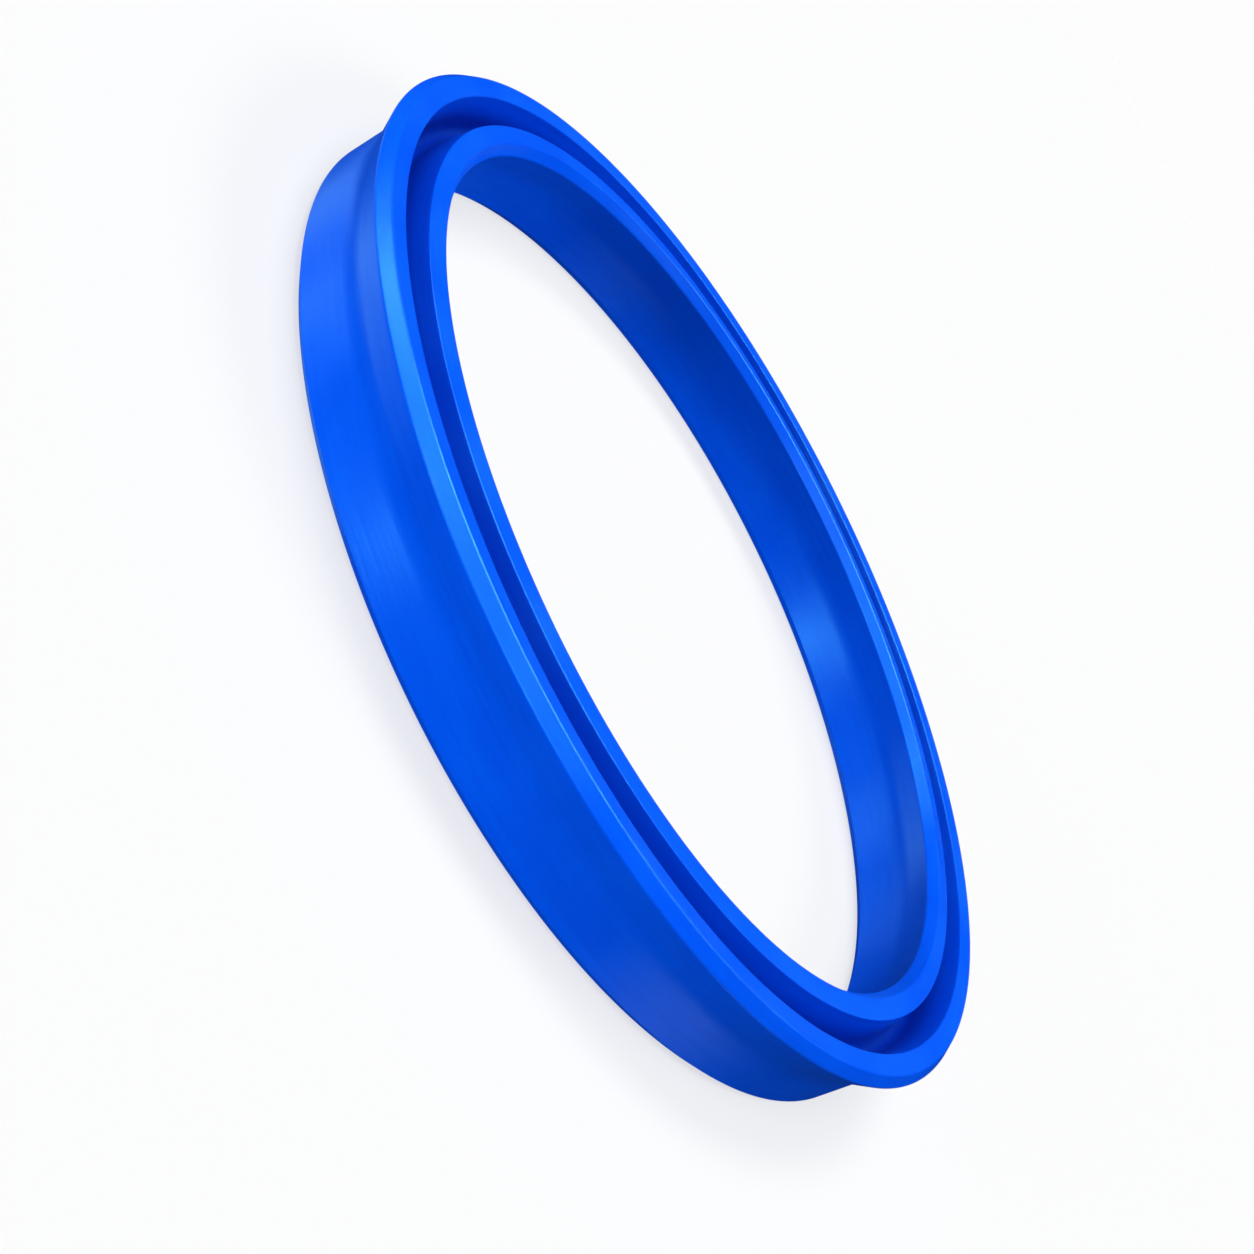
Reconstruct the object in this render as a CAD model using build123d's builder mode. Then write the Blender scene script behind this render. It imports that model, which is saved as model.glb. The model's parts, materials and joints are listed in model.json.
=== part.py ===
"""U cup seal: one polyurethane ring with a solid heel and two flared sealing lips.

The ring lies on its heel. Its axis is Z, its heel face is at Z = 0, and the groove
between the lips opens upwards, towards the pressure side. Lengths are in millimetres.
"""

import os

from build123d import *

# Gland that the seal fills, from the rod to the wall around it
rod_diameter = 125.0
gland_depth = 7.5

# Heel
heel_clearance = 0.15
heel_height = 8.6
heel_chamfer = 1.1

# Lips, which flare from a soft waist to a sharp sealing edge that stands past the gland
lip_interference = 2.2
flare_height = 5.0
waist_radius = 8.0

# Lip tops: a bevel up from the sealing edge to a ridge, then a crest that falls to the groove
bevel_width = 1.15
bevel_height = 1.5
crest_fall = 0.25

# Groove, with straight walls that run into a round root
groove_mouth_width = 4.15
groove_depth = 6.0
groove_root_radius = 1.1

# Heights above the heel face
sealing_edge_height = heel_height + flare_height
ridge_height = sealing_edge_height + bevel_height
crest_height = ridge_height - crest_fall
root_centre_height = crest_height - groove_depth + groove_root_radius

# Distances from the axis
rod_radius = rod_diameter / 2
housing_radius = rod_radius + gland_depth
groove_radius = (rod_radius + housing_radius) / 2


def lip_side(gland_radius, outwards):
    """Corners of one side from heel to groove; outwards is 1 on the housing side, -1 on the rod side."""
    heel_radius = gland_radius - outwards * heel_clearance
    lip_radius = gland_radius + outwards * lip_interference
    return {
        "heel": (heel_radius, 0),
        "waist": (heel_radius, heel_height),
        "sealing_edge": (lip_radius, sealing_edge_height),
        "ridge": (lip_radius - outwards * bevel_width, ridge_height),
        "mouth": (groove_radius + outwards * groove_mouth_width / 2, crest_height),
    }


housing_side = lip_side(housing_radius, 1)
rod_side = lip_side(rod_radius, -1)

with BuildPart() as seal_ring:
    with BuildSketch(Plane.XZ) as section:
        with BuildLine():
            Polyline(*housing_side.values(), *reversed(rod_side.values()), close=True)
        make_face()

        with BuildLine() as groove:
            CenterArc((groove_radius, root_centre_height), groove_root_radius, 0, 360)
            Line(housing_side["mouth"], rod_side["mouth"])
        make_hull(groove.edges(), mode=Mode.SUBTRACT)

        for side in (housing_side, rod_side):
            waist = section.vertices().sort_by_distance(side["waist"])[0]
            fillet(waist, radius=waist_radius)
            heel_corner = section.vertices().sort_by_distance(side["heel"])[0]
            chamfer(heel_corner, length=heel_chamfer)
    revolve(axis=Axis.Z)

seal_ring.part.label = "seal_ring"
os.makedirs("parts", exist_ok=True)
export_step(seal_ring.part, "parts/seal_ring.step")
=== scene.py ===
"""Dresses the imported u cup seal: a finely rounded polyurethane ring, its finish, and a plain studio."""

import json
from math import asin, atan2, cos, hypot, pi, radians, sin, tan

import bpy
from mathutils import Matrix, Vector


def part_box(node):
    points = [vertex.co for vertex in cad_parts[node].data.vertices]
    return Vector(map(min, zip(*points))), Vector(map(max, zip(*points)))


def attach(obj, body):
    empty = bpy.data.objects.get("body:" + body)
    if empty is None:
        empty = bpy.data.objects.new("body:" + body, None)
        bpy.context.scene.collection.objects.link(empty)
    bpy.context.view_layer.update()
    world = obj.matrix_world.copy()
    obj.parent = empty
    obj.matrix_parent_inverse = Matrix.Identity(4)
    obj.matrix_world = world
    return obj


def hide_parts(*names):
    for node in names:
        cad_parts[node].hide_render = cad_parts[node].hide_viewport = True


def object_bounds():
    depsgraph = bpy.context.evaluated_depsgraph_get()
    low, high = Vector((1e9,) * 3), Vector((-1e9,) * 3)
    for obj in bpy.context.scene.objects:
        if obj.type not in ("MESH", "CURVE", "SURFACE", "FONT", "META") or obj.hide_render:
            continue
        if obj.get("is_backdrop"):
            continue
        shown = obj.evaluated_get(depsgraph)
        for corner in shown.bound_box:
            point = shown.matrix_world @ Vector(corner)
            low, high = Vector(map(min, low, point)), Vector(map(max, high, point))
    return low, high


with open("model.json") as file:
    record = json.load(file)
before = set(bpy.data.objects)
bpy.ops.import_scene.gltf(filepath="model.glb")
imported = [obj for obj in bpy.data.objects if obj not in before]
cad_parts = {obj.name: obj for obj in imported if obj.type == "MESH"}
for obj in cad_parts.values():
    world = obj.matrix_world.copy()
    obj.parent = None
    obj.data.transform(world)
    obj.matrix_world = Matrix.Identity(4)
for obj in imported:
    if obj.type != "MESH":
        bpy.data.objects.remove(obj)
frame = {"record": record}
cad_low, cad_high = (Vector(corner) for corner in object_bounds())

MM = 0.001

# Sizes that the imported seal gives
mount_radius = {
    mount["name"]: mount["dims"]["r_mm"] * MM
    for mount in frame["record"]["mounts"]
    if "r_mm" in mount["dims"]
}
heel_outer_radius = mount_radius["heel_outside"]
heel_inner_radius = mount_radius["heel_bore"]
seal_low, seal_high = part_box("seal_ring")
lip_outer_radius = seal_high[0]
seal_height = seal_high[2] - seal_low[2]
groove_radius = (heel_outer_radius + heel_inner_radius) / 2

# Sizes of the section, measured from the middle of the groove or from the heel face
heel_half_width = heel_outer_radius - groove_radius
lip_half_width = lip_outer_radius - groove_radius
heel_chamfer = 1.1 * MM
heel_height = 8.6 * MM
bevel_width = 1.15 * MM
bevel_height = 1.5 * MM
crest_fall = 0.25 * MM
mouth_half_width = 2.075 * MM
groove_depth = 6.0 * MM
root_radius = 1.1 * MM

# How each corner of the section is rounded: its radius and the number of steps round it
heel_edge_round = (0.25 * MM, 5)
waist_round = (8.0 * MM, 16)
sealing_edge_round = (0.35 * MM, 8)
ridge_round = (0.45 * MM, 8)
housing_mouth_round = (0.22 * MM, 5)
rod_mouth_round = (0.15 * MM, 4)
root_round = (root_radius, 22)
steps_round_ring = 640

# Colour of the polyurethane: it wavers between two blues, and painted shade darkens it inside the groove
darker_blue = (0.0, 0.076, 0.81, 1)
paler_blue = (0.0, 0.096, 0.88, 1)
# Dark blue of the painted shade deep inside the groove
painted_groove_shade = (0.0, 0.02, 0.36, 1)
gloss_tint = (0.3, 0.8, 1, 1)
line_share = 0.6
groove_shade_start = 0.2
groove_shade_depth = 5.0 * MM

# Surface of the polyurethane
lines_per_metre = 1400
line_breaks = 5
line_height = 0.016 * MM
patches_per_metre = 110
grains_per_metre = 3600
grain_height = 0.008 * MM
glossiest = 0.28
dullest = 0.36

# Floor, backdrop and the colours of the light; floor_light is what all lamps together give the level floor
floor_reach = 12.0
floor_colour = 0.2
floor_light = 1.42
backdrop_white = 0.98
fill_light = 0.04
fill_colour = (0.2, 0.5, 1.0)
glint_colour = (0.3, 0.75, 1.0)

# Camera: lengths are shares of the ring's outer radius, angles are in degrees
camera_lens = 50.62
camera_sensor = 36
camera_distance = 3.2986
camera_elevation = 18.111
camera_aim = (0.0313, -0.5545)
camera_roll = 64.061


def groove_apex_height(mouth_height):
    """Height where the groove's straight walls would meet below the round root they run into."""
    root_centre_drop = groove_depth - root_radius
    to_root_centre = hypot(mouth_half_width, root_centre_drop)
    wall_angle = atan2(mouth_half_width, root_centre_drop) - asin(root_radius / to_root_centre)
    return mouth_height - mouth_half_width / tan(wall_angle)


section_sizes = {
    "Ring Radius": groove_radius,
    "Height": seal_height,
    "Heel Half Width": heel_half_width,
    "Lip Half Width": lip_half_width,
    "Heel Chamfer": heel_chamfer,
    "Waist Height": heel_height,
    "Bevel Width": bevel_width,
    "Bevel Height": bevel_height,
    "Crest Fall": crest_fall,
    "Mouth Half Width": mouth_half_width,
    "Groove Apex Height": groove_apex_height(seal_height - crest_fall),
}


class Tree:
    """A node tree with short ways to add nodes and join them."""

    def __init__(self, tree):
        self.tree = tree

    def add(self, kind, inputs=(), **settings):
        node = self.tree.nodes.new(kind)
        for name, value in settings.items():
            setattr(node, name, value)
        self.fill(node, inputs)
        return node

    def fill(self, node, inputs):
        """Sets or joins a node's inputs, given as (name or number, value or socket) pairs."""
        pairs = inputs.items() if isinstance(inputs, dict) else inputs
        for name, value in pairs:
            if isinstance(value, bpy.types.NodeSocket):
                self.tree.links.new(value, node.inputs[name])
            else:
                node.inputs[name].default_value = value

    def math(self, operation, *values):
        return self.add("ShaderNodeMath", enumerate(values), operation=operation).outputs[0]

    def vector_math(self, operation, *values):
        return self.add("ShaderNodeVectorMath", enumerate(values), operation=operation)


class Group(Tree):
    """A node group with named inputs and outputs."""

    def __init__(self, name, kind="ShaderNodeTree"):
        super().__init__(bpy.data.node_groups.new(name, kind))
        self.input_node = self.tree.nodes.new("NodeGroupInput")
        self.output_node = self.tree.nodes.new("NodeGroupOutput")
        self.identifiers = {}

    def add_input(self, name, kind="NodeSocketFloat"):
        socket = self.tree.interface.new_socket(name, in_out="INPUT", socket_type=kind)
        self.identifiers[name] = socket.identifier
        return self.input_node.outputs[name]

    def input(self, name):
        return self.input_node.outputs[name]

    def add_output(self, name, source, kind="NodeSocketFloat"):
        self.tree.interface.new_socket(name, in_out="OUTPUT", socket_type=kind)
        self.tree.links.new(source, self.output_node.inputs[name])


def ring_tree():
    """Geometry nodes that round the seal's section at its corners and sweep it round the ring."""
    tree = Group("seal_ring_sweep", "GeometryNodeTree")
    tree.add_input("Material", "NodeSocketMaterial")
    tree.add_input("Steps", "NodeSocketInt")
    for name in section_sizes:
        tree.add_input(name)
    root_corner = (0.0, tree.input("Groove Apex Height"), root_round)
    housing_corners = lip_corners(tree, 1.0, housing_mouth_round)
    rod_corners = lip_corners(tree, -1.0, rod_mouth_round)
    outline = section_outline(tree, [*rod_corners, root_corner, *reversed(housing_corners)])
    path = tree.add(
        "GeometryNodeCurvePrimitiveCircle",
        {"Resolution": tree.input("Steps"), "Radius": tree.input("Ring Radius")},
    )
    ring = tree.add("GeometryNodeCurveToMesh", {"Curve": path.outputs[0], "Profile Curve": outline})
    ring = tree.add("GeometryNodeSetShadeSmooth", {"Geometry": ring.outputs[0]})
    ring = tree.add("GeometryNodeRealizeInstances", {"Geometry": ring.outputs[0]})
    ring = tree.add(
        "GeometryNodeSetMaterial", {"Geometry": ring.outputs[0], "Material": tree.input("Material")}
    )
    tree.add_output("Geometry", ring.outputs[0], "NodeSocketGeometry")
    return tree


def lip_corners(tree, side, mouth_round):
    """One lip's corners from heel face to groove mouth; side is 1 towards the housing, -1 towards the rod."""
    heel_half, lip_half, chamfer, height, bevel_rise = (
        tree.input(name)
        for name in ("Heel Half Width", "Lip Half Width", "Heel Chamfer", "Height", "Bevel Height")
    )
    mouth_height = tree.math("SUBTRACT", height, tree.input("Crest Fall"))
    corners = (
        (tree.math("SUBTRACT", heel_half, chamfer), 0.0, heel_edge_round),
        (heel_half, chamfer, heel_edge_round),
        (heel_half, tree.input("Waist Height"), waist_round),
        (lip_half, tree.math("SUBTRACT", height, bevel_rise), sealing_edge_round),
        (tree.math("SUBTRACT", lip_half, tree.input("Bevel Width")), height, ridge_round),
        (tree.input("Mouth Half Width"), mouth_height, mouth_round),
    )
    return [(tree.math("MULTIPLY", across, side), up, rounding) for across, up, rounding in corners]


def section_outline(tree, corners):
    """A closed curve through the corners, each rounded with its own radius."""
    outline = tree.add("GeometryNodeMeshLine", {"Count": len(corners)})
    outline = tree.add("GeometryNodeMeshToCurve", {"Mesh": outline.outputs[0]})
    index = tree.add("GeometryNodeInputIndex").outputs[0]
    across = pick(tree, index, [corner[0] for corner in corners], "FLOAT")
    up = pick(tree, index, [corner[1] for corner in corners], "FLOAT")
    radius = pick(tree, index, [corner[2][0] for corner in corners], "FLOAT")
    steps = pick(tree, index, [corner[2][1] for corner in corners], "INT")
    place = tree.add("ShaderNodeCombineXYZ", {"X": across, "Y": tree.math("MULTIPLY", up, -1.0)})
    outline = tree.add(
        "GeometryNodeSetPosition", {"Geometry": outline.outputs[0], "Position": place.outputs[0]}
    )
    outline = tree.add("GeometryNodeSetSplineCyclic", {"Geometry": outline.outputs[0], "Cyclic": True})
    outline = tree.add(
        "GeometryNodeFilletCurve",
        {"Curve": outline.outputs[0], "Radius": radius, "Count": steps, "Limit Radius": False},
        mode="POLY",
    )
    return outline.outputs[0]


def pick(tree, index, values, kind):
    """The value that an index chooses from a list of numbers and sockets."""
    switch = tree.add("GeometryNodeIndexSwitch", data_type=kind)
    while len(switch.index_switch_items) < len(values):
        switch.index_switch_items.new()
    tree.fill(switch, [("Index", index), *enumerate(values, start=1)])
    return switch.outputs[0]


def make_ring(material):
    """The seal as one plain mesh."""
    tree = ring_tree()
    carrier = bpy.data.objects.new("ring_carrier", bpy.data.meshes.new("ring_carrier"))
    bpy.context.scene.collection.objects.link(carrier)
    sweep = carrier.modifiers.new("sweep", "NODES")
    sweep.node_group = tree.tree
    for name, value in {"Material": material, "Steps": steps_round_ring, **section_sizes}.items():
        sweep[tree.identifiers[name]] = value
    evaluated = carrier.evaluated_get(bpy.context.evaluated_depsgraph_get())
    mesh = bpy.data.meshes.new_from_object(evaluated)
    bpy.data.objects.remove(carrier)
    ring = bpy.data.objects.new("polyurethane_ring", mesh)
    bpy.context.scene.collection.objects.link(ring)
    return ring


def place_on_ring(tree):
    """Where a point lies: its place flattened to the heel's plane, its radius and its height."""
    place = tree.add("ShaderNodeTexCoord").outputs["Object"]
    flat = tree.vector_math("MULTIPLY", place, (1, 1, 0)).outputs[0]
    radius = tree.vector_math("LENGTH", flat).outputs["Value"]
    height = tree.add("ShaderNodeSeparateXYZ", [(0, place)]).outputs["Z"]
    return flat, radius, height


def turned_lines():
    """Fine lines that run round the ring, as the mould's turned steel leaves them on every surface."""
    tree = Group("turned_lines")
    density = tree.add_input("Lines per Metre")
    breaks = tree.add_input("Breaks")
    flat, radius, height = place_on_ring(tree)
    bearing = tree.vector_math("NORMALIZE", flat).outputs[0]
    bearing = tree.add("ShaderNodeVectorMath", [(0, bearing), ("Scale", breaks)], operation="SCALE")
    bearing = tree.add("ShaderNodeSeparateXYZ", [(0, bearing.outputs[0])])
    spread = tree.add(
        "ShaderNodeCombineXYZ",
        {"X": bearing.outputs["X"], "Y": bearing.outputs["Y"], "Z": tree.math("MULTIPLY", height, density)},
    )
    noise = tree.add(
        "ShaderNodeTexNoise",
        {
            "Vector": spread.outputs[0],
            "W": tree.math("MULTIPLY", radius, density),
            "Scale": 1.0,
            "Detail": 3.0,
            "Roughness": 0.65,
        },
        noise_dimensions="4D",
    )
    tree.add_output("Lines", noise.outputs["Fac"])
    return tree.tree


def soft_mottle():
    """Cloudy patches, the same patches smoothed, and a much finer grain, as on satin rubber."""
    tree = Group("soft_mottle")
    patch = tree.add_input("Patches per Metre")
    grain = tree.add_input("Grains per Metre")
    place = tree.add("ShaderNodeTexCoord").outputs["Object"]
    patches = tree.add(
        "ShaderNodeTexNoise", {"Vector": place, "Scale": patch, "Detail": 4.0, "Roughness": 0.6}
    )
    sheens = tree.add("ShaderNodeTexNoise", {"Vector": place, "Scale": patch, "Detail": 0.0})
    grains = tree.add("ShaderNodeTexNoise", {"Vector": place, "Scale": grain, "Detail": 2.0})
    tree.add_output("Patches", patches.outputs["Fac"])
    tree.add_output("Sheen", sheens.outputs["Fac"])
    tree.add_output("Grain", grains.outputs["Fac"])
    return tree.tree


def recess_tone():
    """Mask of the painted shade in the groove, by how deep a point lies: 0 near the mouth and everywhere
    outside it, 1 well inside.
    """
    tree = Group("recess_tone")
    ring_radius = tree.add_input("Ring Radius")
    half_width = tree.add_input("Half Width")
    mouth_height = tree.add_input("Mouth Height")
    start = tree.add_input("Start")
    depth = tree.add_input("Full Depth")
    radius, height = place_on_ring(tree)[1:]
    offset = tree.math("ABSOLUTE", tree.math("SUBTRACT", radius, ring_radius))
    inside = tree.math("LESS_THAN", offset, half_width)
    below = tree.math("DIVIDE", tree.math("SUBTRACT", mouth_height, height), depth)
    ramp = tree.add(
        "ShaderNodeMapRange", {"Value": below, "From Min": start}, interpolation_type="SMOOTHSTEP"
    )
    tree.add_output("Recess", tree.math("MULTIPLY", ramp.outputs["Result"], inside))
    return tree.tree


def body_colour(tree, mottle, lines):
    """The wavering blue, with painted shade darkening it inside the groove."""
    blend = tree.add(
        "ShaderNodeMix", {"Factor": line_share, "A": mottle.outputs["Patches"], "B": lines.outputs["Lines"]}
    )
    tone = tree.add(
        "ShaderNodeMapRange", {"Value": blend.outputs["Result"], "From Min": 0.35, "From Max": 0.65}
    )
    blue = tree.add(
        "ShaderNodeMix",
        {"Factor": tone.outputs["Result"], "A": darker_blue, "B": paler_blue},
        data_type="RGBA",
    )
    # Painted shade: the blue turns to the dark groove blue deep inside the groove
    recess = tree.add(
        "ShaderNodeGroup",
        {
            "Ring Radius": groove_radius,
            "Half Width": mouth_half_width,
            "Mouth Height": seal_height,
            "Start": groove_shade_start,
            "Full Depth": groove_shade_depth,
        },
        node_tree=recess_tone(),
    )
    shaded = tree.add(
        "ShaderNodeMix",
        {"Factor": recess.outputs["Recess"], "A": blue.outputs["Result"], "B": painted_groove_shade},
        data_type="RGBA",
    )
    return shaded.outputs["Result"]


def uneven_gloss(tree, mottle):
    """Roughness that drifts a little from patch to patch."""
    gloss = tree.add(
        "ShaderNodeMapRange",
        {
            "Value": mottle.outputs["Sheen"],
            "From Min": 0.3,
            "From Max": 0.7,
            "To Min": glossiest,
            "To Max": dullest,
        },
    )
    return gloss.outputs["Result"]


def fine_relief(tree, mottle, lines):
    """The grain, and the turned lines over it."""
    grain = tree.add("ShaderNodeBump", {"Height": mottle.outputs["Grain"], "Distance": grain_height})
    turned = tree.add(
        "ShaderNodeBump",
        {"Height": lines.outputs["Lines"], "Distance": line_height, "Normal": grain.outputs["Normal"]},
    )
    return turned.outputs["Normal"]


def polyurethane():
    """Blue polyurethane as it leaves a turned mould: satin, a little uneven, its reflections tinted blue,
    with painted shade inside the groove.
    """
    material = bpy.data.materials.new("blue_polyurethane")
    material.use_nodes = True
    tree = Tree(material.node_tree)
    lines = tree.add(
        "ShaderNodeGroup",
        {"Lines per Metre": lines_per_metre, "Breaks": line_breaks},
        node_tree=turned_lines(),
    )
    mottle = tree.add(
        "ShaderNodeGroup",
        {"Patches per Metre": patches_per_metre, "Grains per Metre": grains_per_metre},
        node_tree=soft_mottle(),
    )
    finish = {
        "Base Color": body_colour(tree, mottle, lines),
        "Roughness": uneven_gloss(tree, mottle),
        "Specular Tint": gloss_tint,
        "Normal": fine_relief(tree, mottle, lines),
    }
    tree.fill(material.node_tree.nodes["Principled BSDF"], finish)
    return material


def toward(azimuth, elevation):
    """Unit vector towards a compass direction; azimuth runs from +X towards +Y, both in degrees."""
    level = cos(radians(elevation))
    return Vector((cos(radians(azimuth)) * level, sin(radians(azimuth)) * level, sin(radians(elevation))))


def soft_lamp(name, azimuth, elevation, spread, share):
    """A soft box far from the seal; share is its part of the light that would render a colour as written."""
    lamp = bpy.data.lights.new(name, "SUN")
    lamp.energy = share * pi
    lamp.angle = radians(spread)
    holder = bpy.data.objects.new(name, lamp)
    holder.rotation_euler = toward(azimuth, elevation).to_track_quat("Z", "Y").to_euler()
    bpy.context.scene.collection.objects.link(holder)
    return holder


def body_lamp(name, azimuth, elevation, spread, share):
    """A soft box that lights the colour alone and shows in no reflection."""
    soft_lamp(name, azimuth, elevation, spread, share).visible_glossy = False


def glint_lamp(name, azimuth, elevation, spread, share):
    """A tinted soft box that shows in the reflections alone."""
    holder = soft_lamp(name, azimuth, elevation, spread, share)
    holder.data.color = glint_colour
    holder.visible_diffuse = False


def make_lamps():
    """Even light on the body from front, back, below and above, and glints along the heel and the edges."""
    body_lamp("front_box", 235, -4, 26, 1.0)
    body_lamp("back_box", 80, -6, 26, 0.6)
    body_lamp("low_right_box", 0, -25, 26, 0.4)
    body_lamp("upper_left_box", 150, 68, 26, 0.62)
    body_lamp("upper_right_box", 30, 50, 26, 0.42)
    body_lamp("overhead_box", 270, 72, 26, 0.5)
    glint_lamp("overhead_left_glint", 150, 72, 20, 1.2)
    glint_lamp("overhead_right_glint", 75, 68, 20, 0.9)
    glint_lamp("bevel_glint", 225, 55, 26, 0.1)
    glint_lamp("front_glint", 238, -18, 10, 0.22)
    glint_lamp("front_left_glint", 182, -18, 24, 0.12)
    glint_lamp("left_glint", 148, -20, 24, 0.045)
    glint_lamp("flare_glint", 140, -52, 30, 0.09)
    for azimuth in (185, 230, 275):
        glint_lamp("edge_glint", azimuth, 32, 24, 0.6)


def make_floor():
    """A wide pale floor; most of its whiteness is its own, so that shadows on it stay light."""
    mesh = bpy.data.meshes.new("floor")
    corners = [(-floor_reach, -floor_reach), (floor_reach, -floor_reach),
               (floor_reach, floor_reach), (-floor_reach, floor_reach)]
    mesh.from_pydata([(x, y, cad_low.z) for x, y in corners], [], [(0, 1, 2, 3)])
    floor = bpy.data.objects.new("floor", mesh)
    bpy.context.scene.collection.objects.link(floor)
    material = bpy.data.materials.new("white_floor")
    material.use_nodes = True
    finish = {
        "Base Color": (floor_colour, floor_colour, floor_colour, 1),
        "Roughness": 1.0,
        "Specular IOR Level": 0.0,
        "Emission Color": (1, 1, 1, 1),
        "Emission Strength": backdrop_white - floor_colour * floor_light,
    }
    Tree(material.node_tree).fill(material.node_tree.nodes["Principled BSDF"], finish)
    mesh.materials.append(material)
    floor.visible_diffuse = False
    floor.visible_glossy = False
    floor.visible_shadow = False
    floor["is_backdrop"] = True


def make_world():
    """A backdrop as white as the floor to the eye, and a faint cool fill to everything else."""
    world = bpy.data.worlds.new("studio")
    bpy.context.scene.world = world
    world.use_nodes = True
    tree = Tree(world.node_tree)
    path = tree.add("ShaderNodeLightPath")
    shown = tree.add(
        "ShaderNodeMix",
        {
            "Factor": path.outputs["Is Camera Ray"],
            "A": (*[fill_light * part for part in fill_colour], 1),
            "B": (backdrop_white, backdrop_white, backdrop_white, 1),
        },
        data_type="RGBA",
    )
    tree.fill(world.node_tree.nodes["Background"], {"Color": shown.outputs["Result"]})


def make_camera():
    """Looks at the ring from low over its rim, rolled so that the ring's axis leans to the right."""
    camera_data = bpy.data.cameras.new("camera")
    camera_data.lens = camera_lens
    camera_data.sensor_width = camera_sensor
    camera = bpy.data.objects.new("camera", camera_data)
    edge_plane = Vector((0, 0, seal_height - bevel_height))
    place = toward(270, camera_elevation) * camera_distance * lip_outer_radius + edge_plane
    aim = Vector((*camera_aim, 0)) * lip_outer_radius + edge_plane
    turn = (aim - place).to_track_quat("-Z", "Y").to_matrix().to_4x4()
    roll = Matrix.Rotation(radians(camera_roll), 4, "Z")
    camera.matrix_world = Matrix.Translation(place) @ turn @ roll
    bpy.context.scene.collection.objects.link(camera)
    bpy.context.scene.camera = camera


ring = make_ring(polyurethane())
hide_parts("seal_ring")
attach(ring, "root")
smooth = ring.modifiers.new("even_shading", "WEIGHTED_NORMAL")
smooth.weight = 50

make_floor()
make_world()
make_camera()
make_lamps()
bpy.context.scene.view_settings.view_transform = "Standard"
